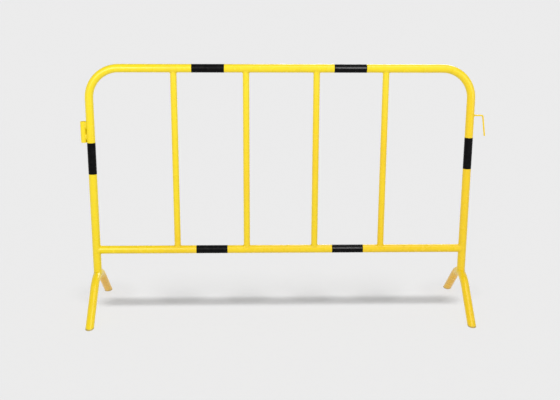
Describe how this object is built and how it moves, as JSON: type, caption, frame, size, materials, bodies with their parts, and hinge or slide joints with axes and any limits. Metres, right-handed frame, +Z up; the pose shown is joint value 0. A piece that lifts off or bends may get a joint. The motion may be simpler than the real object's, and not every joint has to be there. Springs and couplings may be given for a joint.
{
  "type": "crowd control barrier",
  "caption": "Free-standing tubular steel crowd barrier: bent-tube frame with upright infill bars, arched feet, black film bands, and a hook and socket for linking barriers in a row.",
  "frame": {"origin": "on the ground, midway between the two uprights, under the frame's centre plane", "axes": "+X along the barrier towards the end with the hook, +Y towards the back, +Z up"},
  "size_m": [1.5705, 0.4796, 0.9823],
  "materials": {
    "yellow_paint": "semi-gloss powder coat",
    "black_film": "glossy adhesive film"
  },
  "bodies": {
    "root": {"frame_tube": "yellow_paint", "bottom_rail": "yellow_paint", "infill_bar_1": "yellow_paint", "infill_bar_2": "yellow_paint", "infill_bar_3": "yellow_paint", "infill_bar_4": "yellow_paint", "foot_left": "yellow_paint", "foot_right": "yellow_paint", "linking_hook": "yellow_paint", "hook_socket": "yellow_paint", "bar_top_welds": "yellow_paint", "bar_bottom_welds": "yellow_paint", "rail_end_welds": "yellow_paint", "foot_welds": "yellow_paint", "socket_welds": "yellow_paint", "hook_weld": "yellow_paint", "band_top_left": "black_film", "band_top_right": "black_film", "band_bottom_left": "black_film", "band_bottom_right": "black_film", "band_upright_left": "black_film", "band_upright_right": "black_film"}
  },
  "joints": []
}
